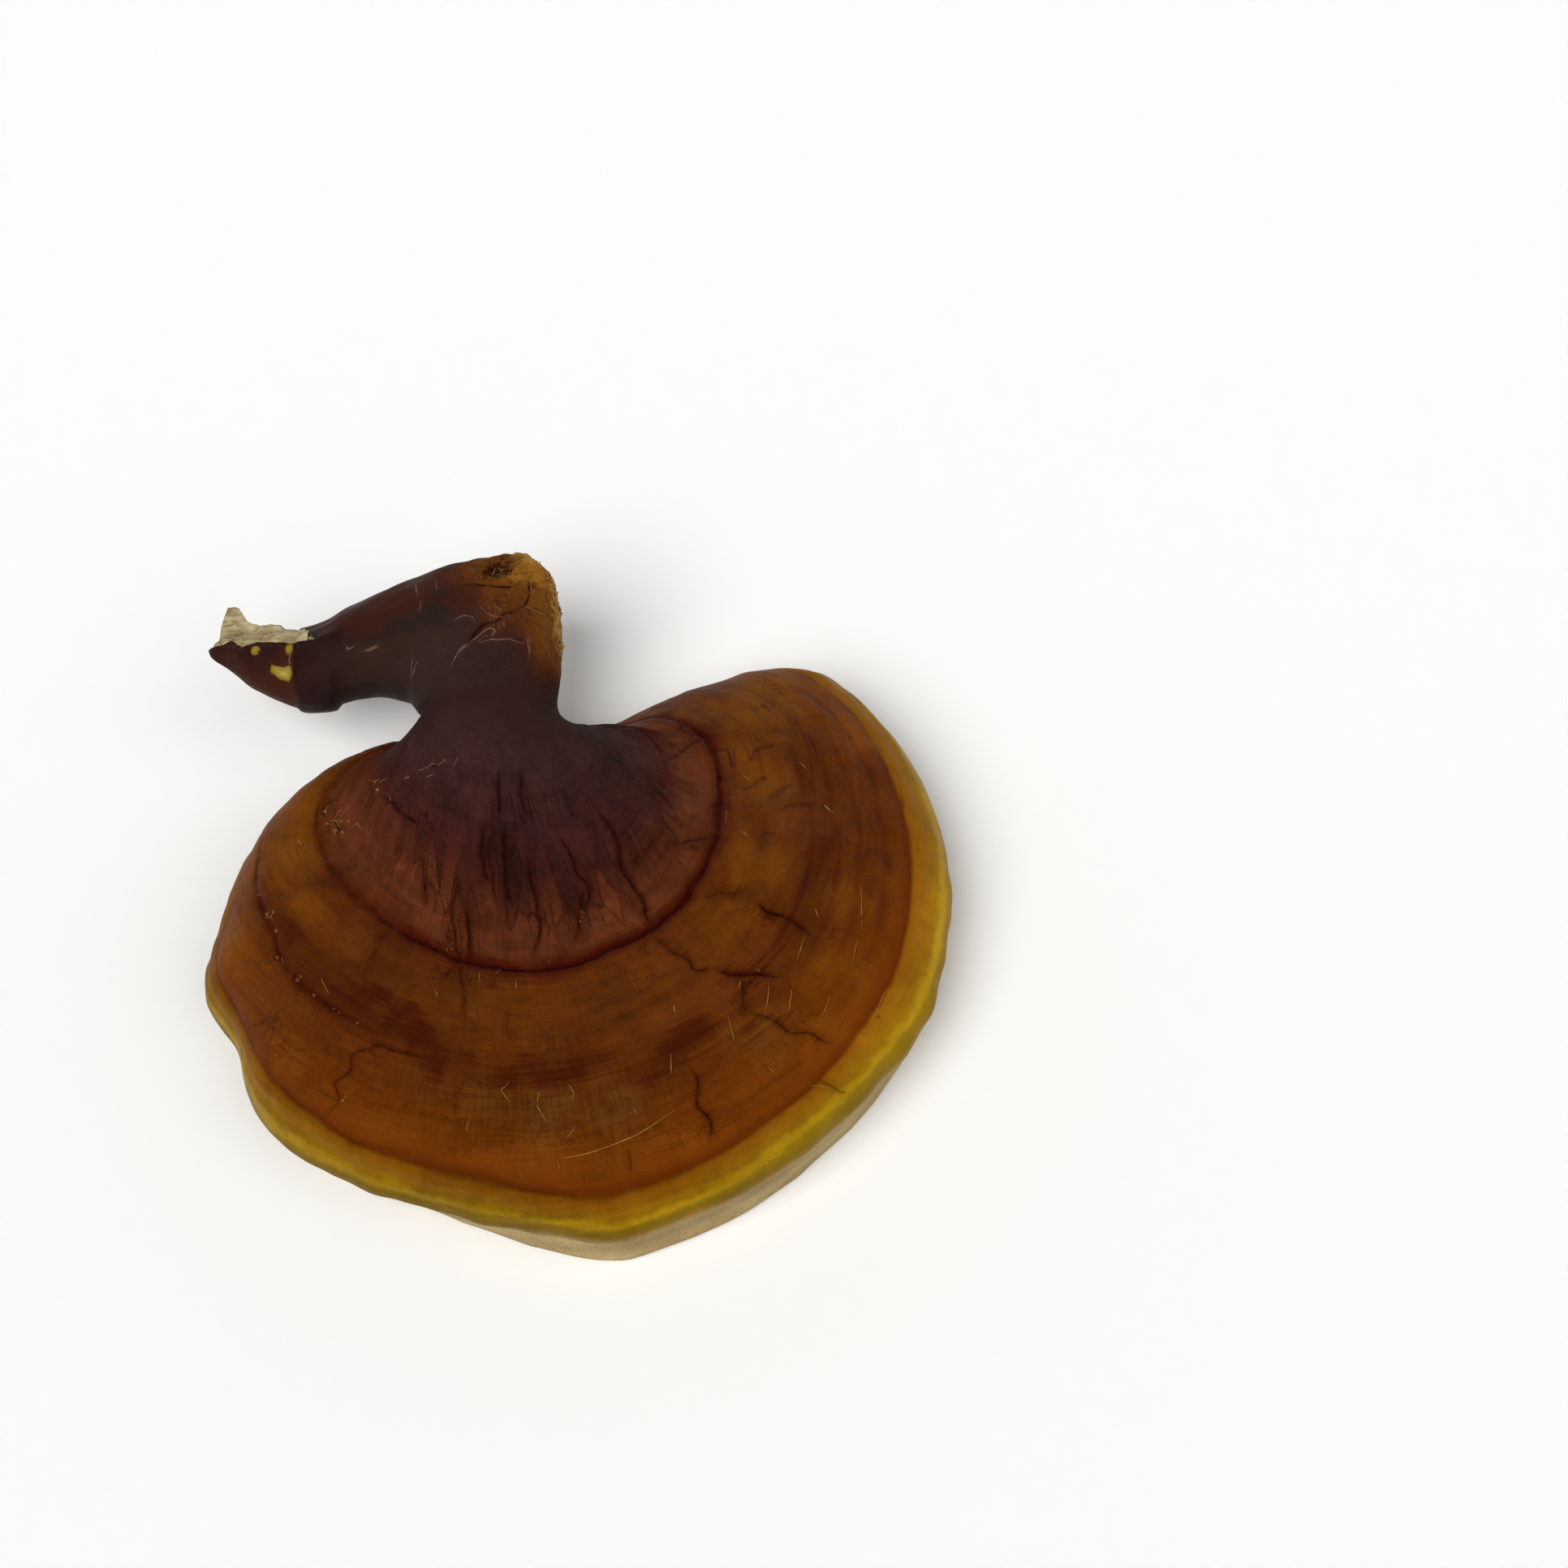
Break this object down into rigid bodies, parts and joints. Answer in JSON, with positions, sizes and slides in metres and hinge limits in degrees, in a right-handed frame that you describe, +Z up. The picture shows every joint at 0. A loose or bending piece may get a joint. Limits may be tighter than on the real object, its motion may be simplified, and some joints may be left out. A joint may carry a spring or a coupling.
{
  "type": "dried reishi mushroom",
  "caption": "Dried bracket mushroom with a fan-shaped, ringed, lacquered cap, a pale flat pore surface and a bent stem at the back.",
  "frame": {"origin": "middle of the footprint, on the surface that the pore side lies on", "axes": "+Z up, out of the lacquered cap; +Y towards the stem; +X to the right seen from the cap's front"},
  "size_m": [0.1326, 0.127, 0.0345],
  "materials": {
    "lacquered crust": "satin lacquer"
  },
  "bodies": {
    "root": {"reishi": "lacquered crust"}
  },
  "joints": []
}
